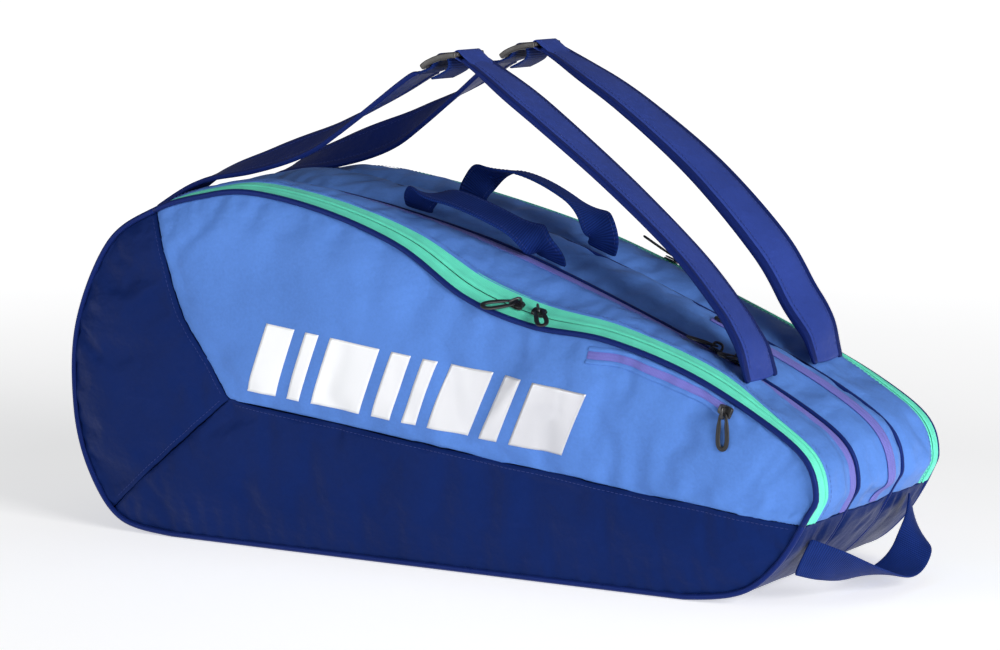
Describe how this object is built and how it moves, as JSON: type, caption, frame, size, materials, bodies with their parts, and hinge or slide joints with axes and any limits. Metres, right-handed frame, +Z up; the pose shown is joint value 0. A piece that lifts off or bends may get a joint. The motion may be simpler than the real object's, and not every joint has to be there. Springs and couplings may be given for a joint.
{
  "type": "racket tournament bag",
  "caption": "Soft racket bag with three lobed compartments, zipped mouths, two padded shoulder straps, two carry handles and an end loop.",
  "frame": {"origin": "centre of the base's underside, on the floor", "axes": "+X towards the narrow handle end, -Y out of the front panel, +Z up"},
  "size_m": [0.7962, 0.2725, 0.4544],
  "materials": {
    "blue_fabric": "smooth coated polyester, satin",
    "navy_fabric": "smooth coated polyester, satin",
    "mint_zip": "woven zip tape with a hidden coil",
    "violet_zip": "woven zip tape with a hidden coil",
    "piping": "fabric-covered cord",
    "divider": "padded lining",
    "strap_fabric": "smooth polyester over foam, bound edges",
    "webbing": "ribbed woven webbing",
    "lock_plastic": "moulded, fine grain",
    "slider_metal": "black lacquer",
    "puller_rubber": "matt cord and moulded end"
  },
  "bodies": {
    "root": {"front_panel_end": "navy_fabric", "front_panel_lower": "navy_fabric", "front_panel_upper": "blue_fabric", "front_gusset_top": "blue_fabric", "front_gusset_base": "navy_fabric", "front_piping_base": "piping", "front_zip_tape": "mint_zip", "front_divider": "divider", "front_divider_piping": "piping", "front_pad_foot": "strap_fabric", "front_strap_foot": "strap_fabric", "rear_panel_end": "navy_fabric", "rear_panel_lower": "navy_fabric", "rear_panel_upper": "blue_fabric", "rear_gusset_top": "blue_fabric", "rear_gusset_base": "navy_fabric", "rear_piping_base": "piping", "rear_zip_tape": "mint_zip", "rear_divider": "divider", "rear_divider_piping": "piping", "rear_pad_foot": "strap_fabric", "rear_strap_foot": "strap_fabric", "centre_gusset_top": "blue_fabric", "centre_gusset_base": "navy_fabric", "centre_zip_tape": "violet_zip", "end_zip_tape": "violet_zip"},
    "front_flap": {"front_flap_panel": "blue_fabric", "front_flap_piping": "piping", "front_flap_zip_tape": "mint_zip", "pocket_zip_tape": "violet_zip"},
    "rear_flap": {"rear_flap_panel": "blue_fabric", "rear_flap_piping": "piping", "rear_flap_zip_tape": "mint_zip"},
    "front_strap": {"front_strap_pad": "strap_fabric", "front_lower_strap": "strap_fabric"},
    "front_lock": {"front_ladder_lock": "lock_plastic", "front_strap_tail": "webbing"},
    "rear_strap": {"rear_strap_pad": "strap_fabric", "rear_lower_strap": "strap_fabric"},
    "rear_lock": {"rear_ladder_lock": "lock_plastic", "rear_strap_tail": "webbing"},
    "front_handle": {"front_handle": "webbing"},
    "rear_handle": {"rear_handle": "webbing"},
    "end_loop": {"end_loop": "webbing"},
    "front_zip_1_slider": {"front_zip_1_slider": "slider_metal"},
    "front_zip_1_puller": {"front_zip_1_puller": "puller_rubber"},
    "front_zip_2_slider": {"front_zip_2_slider": "slider_metal"},
    "front_zip_2_puller": {"front_zip_2_puller": "puller_rubber"},
    "rear_zip_1_slider": {"rear_zip_1_slider": "slider_metal"},
    "rear_zip_1_puller": {"rear_zip_1_puller": "puller_rubber"},
    "rear_zip_2_slider": {"rear_zip_2_slider": "slider_metal"},
    "rear_zip_2_puller": {"rear_zip_2_puller": "puller_rubber"},
    "centre_zip_1_slider": {"centre_zip_1_slider": "slider_metal"},
    "centre_zip_1_puller": {"centre_zip_1_puller": "puller_rubber"},
    "centre_zip_2_slider": {"centre_zip_2_slider": "slider_metal"},
    "centre_zip_2_puller": {"centre_zip_2_puller": "puller_rubber"},
    "end_zip_slider": {"end_zip_slider": "slider_metal"},
    "end_zip_puller": {"end_zip_puller": "puller_rubber"},
    "pocket_zip_slider": {"pocket_zip_slider": "slider_metal"},
    "pocket_zip_puller": {"pocket_zip_puller": "puller_rubber"}
  },
  "joints": [
    {"name": "front_flap_fold", "type": "hinge", "parent": "root", "child": "front_flap", "pos_m": [0.042, -0.1335, 0.1855], "axis": [0.9444, 0, -0.3288], "range_deg": [0, 60]},
    {"name": "rear_flap_fold", "type": "hinge", "parent": "root", "child": "rear_flap", "pos_m": [0.042, 0.1335, 0.1855], "axis": [-0.9444, 0, 0.3288], "range_deg": [0, 60]},
    {"name": "front_strap_swing", "type": "hinge", "parent": "root", "child": "front_strap", "pos_m": [-0.1488, -0.065, 0.3618], "axis": [0.9576, 0, -0.2881], "range_deg": [-10, 70]},
    {"name": "front_lock_tilt", "type": "hinge", "parent": "front_strap", "child": "front_lock", "pos_m": [0.01138, -0.065, 0.44491], "axis": [0, 1, 0], "range_deg": [-10, 25]},
    {"name": "rear_strap_swing", "type": "hinge", "parent": "root", "child": "rear_strap", "pos_m": [-0.1488, 0.065, 0.3618], "axis": [-0.9576, 0, 0.2881], "range_deg": [-10, 70]},
    {"name": "rear_lock_tilt", "type": "hinge", "parent": "rear_strap", "child": "rear_lock", "pos_m": [0.01438, 0.065, 0.44891], "axis": [0, 1, 0], "range_deg": [-10, 25]},
    {"name": "front_handle_swing", "type": "hinge", "parent": "root", "child": "front_handle", "pos_m": [-0.03674, -0.045, 0.30139], "axis": [0.9612, 0, -0.2757], "range_deg": [-72, 8]},
    {"name": "rear_handle_swing", "type": "hinge", "parent": "root", "child": "rear_handle", "pos_m": [-0.03674, 0.045, 0.30139], "axis": [-0.9612, 0, 0.2757], "range_deg": [-35, 55]},
    {"name": "end_loop_swing", "type": "hinge", "parent": "root", "child": "end_loop", "pos_m": [0.3632, -0.11, 0.0612], "axis": [-0.0161, -0.9985, -0.0519], "range_deg": [0, 60]},
    {"name": "front_zip_1_travel", "type": "hinge", "parent": "front_flap", "child": "front_zip_1_slider", "pos_m": [0.14734, -0.11, 0.45907], "axis": [0, 1, 0], "range_deg": [0, 14.66]},
    {"name": "front_zip_1_puller_swing", "type": "hinge", "parent": "front_zip_1_slider", "child": "front_zip_1_puller", "pos_m": [0.08659, -0.11481, 0.23771], "axis": [-0.7156, 0.484, 0.5037], "range_deg": [0, 130]},
    {"name": "front_zip_2_travel", "type": "slide", "parent": "front_flap", "child": "front_zip_2_slider", "axis": [0.9916, 0, -0.1295], "range_m": [0, 0.0471]},
    {"name": "front_zip_2_puller_swing", "type": "hinge", "parent": "front_zip_2_slider", "child": "front_zip_2_puller", "pos_m": [0.11159, -0.11462, 0.23163], "axis": [-0.8169, -0.5488, -0.1775], "range_deg": [0, 130]},
    {"name": "rear_zip_1_travel", "type": "slide", "parent": "rear_flap", "child": "rear_zip_1_slider", "axis": [-0.9412, 0, 0.3377], "range_m": [0, 0.0726]},
    {"name": "rear_zip_1_puller_swing", "type": "hinge", "parent": "rear_zip_1_slider", "child": "rear_zip_1_puller", "pos_m": [0.11965, 0.10962, 0.25907], "axis": [-0.6095, 0.7927, 0.013], "range_deg": [0, 130]},
    {"name": "rear_zip_2_travel", "type": "slide", "parent": "rear_flap", "child": "rear_zip_2_slider", "axis": [0.9269, 0, -0.3754], "range_m": [0, 0.0789]},
    {"name": "rear_zip_2_puller_swing", "type": "hinge", "parent": "rear_zip_2_slider", "child": "rear_zip_2_puller", "pos_m": [0.14831, 0.10962, 0.24799], "axis": [-0.4586, -0.7927, 0.4017], "range_deg": [0, 130]},
    {"name": "centre_zip_1_travel", "type": "slide", "parent": "root", "child": "centre_zip_1_slider", "axis": [-0.9245, 0, 0.3811], "range_m": [0, 0.0737]},
    {"name": "centre_zip_1_puller_swing", "type": "hinge", "parent": "centre_zip_1_slider", "child": "centre_zip_1_puller", "pos_m": [0.25025, -0.05546, 0.20455], "axis": [-0.8151, 0.5513, 0.1777], "range_deg": [0, 130]},
    {"name": "centre_zip_2_travel", "type": "slide", "parent": "root", "child": "centre_zip_2_slider", "axis": [0.9113, 0, -0.4118], "range_m": [0, 0.003]},
    {"name": "centre_zip_2_puller_swing", "type": "hinge", "parent": "centre_zip_2_slider", "child": "centre_zip_2_puller", "pos_m": [0.26982, -0.05593, 0.19611], "axis": [-0.9173, 0.0836, 0.3893], "range_deg": [0, 25]},
    {"name": "end_zip_travel", "type": "slide", "parent": "root", "child": "end_zip_slider", "axis": [0.9089, 0, -0.417], "range_m": [0, 0.0601]},
    {"name": "end_zip_puller_swing", "type": "hinge", "parent": "end_zip_slider", "child": "end_zip_puller", "pos_m": [0.25012, 0, 0.21291], "axis": [0, 1, 0], "range_deg": [0, 130]},
    {"name": "pocket_zip_travel", "type": "slide", "parent": "front_flap", "child": "pocket_zip_slider", "axis": [-0.9165, 0, 0.4001], "range_m": [0, 0.055]},
    {"name": "pocket_zip_puller_swing", "type": "hinge", "parent": "pocket_zip_slider", "child": "pocket_zip_puller", "pos_m": [0.2982, -0.13556, 0.16034], "axis": [-0.9992, -0.0399, 0.0049], "range_deg": [0, 130]}
  ]
}
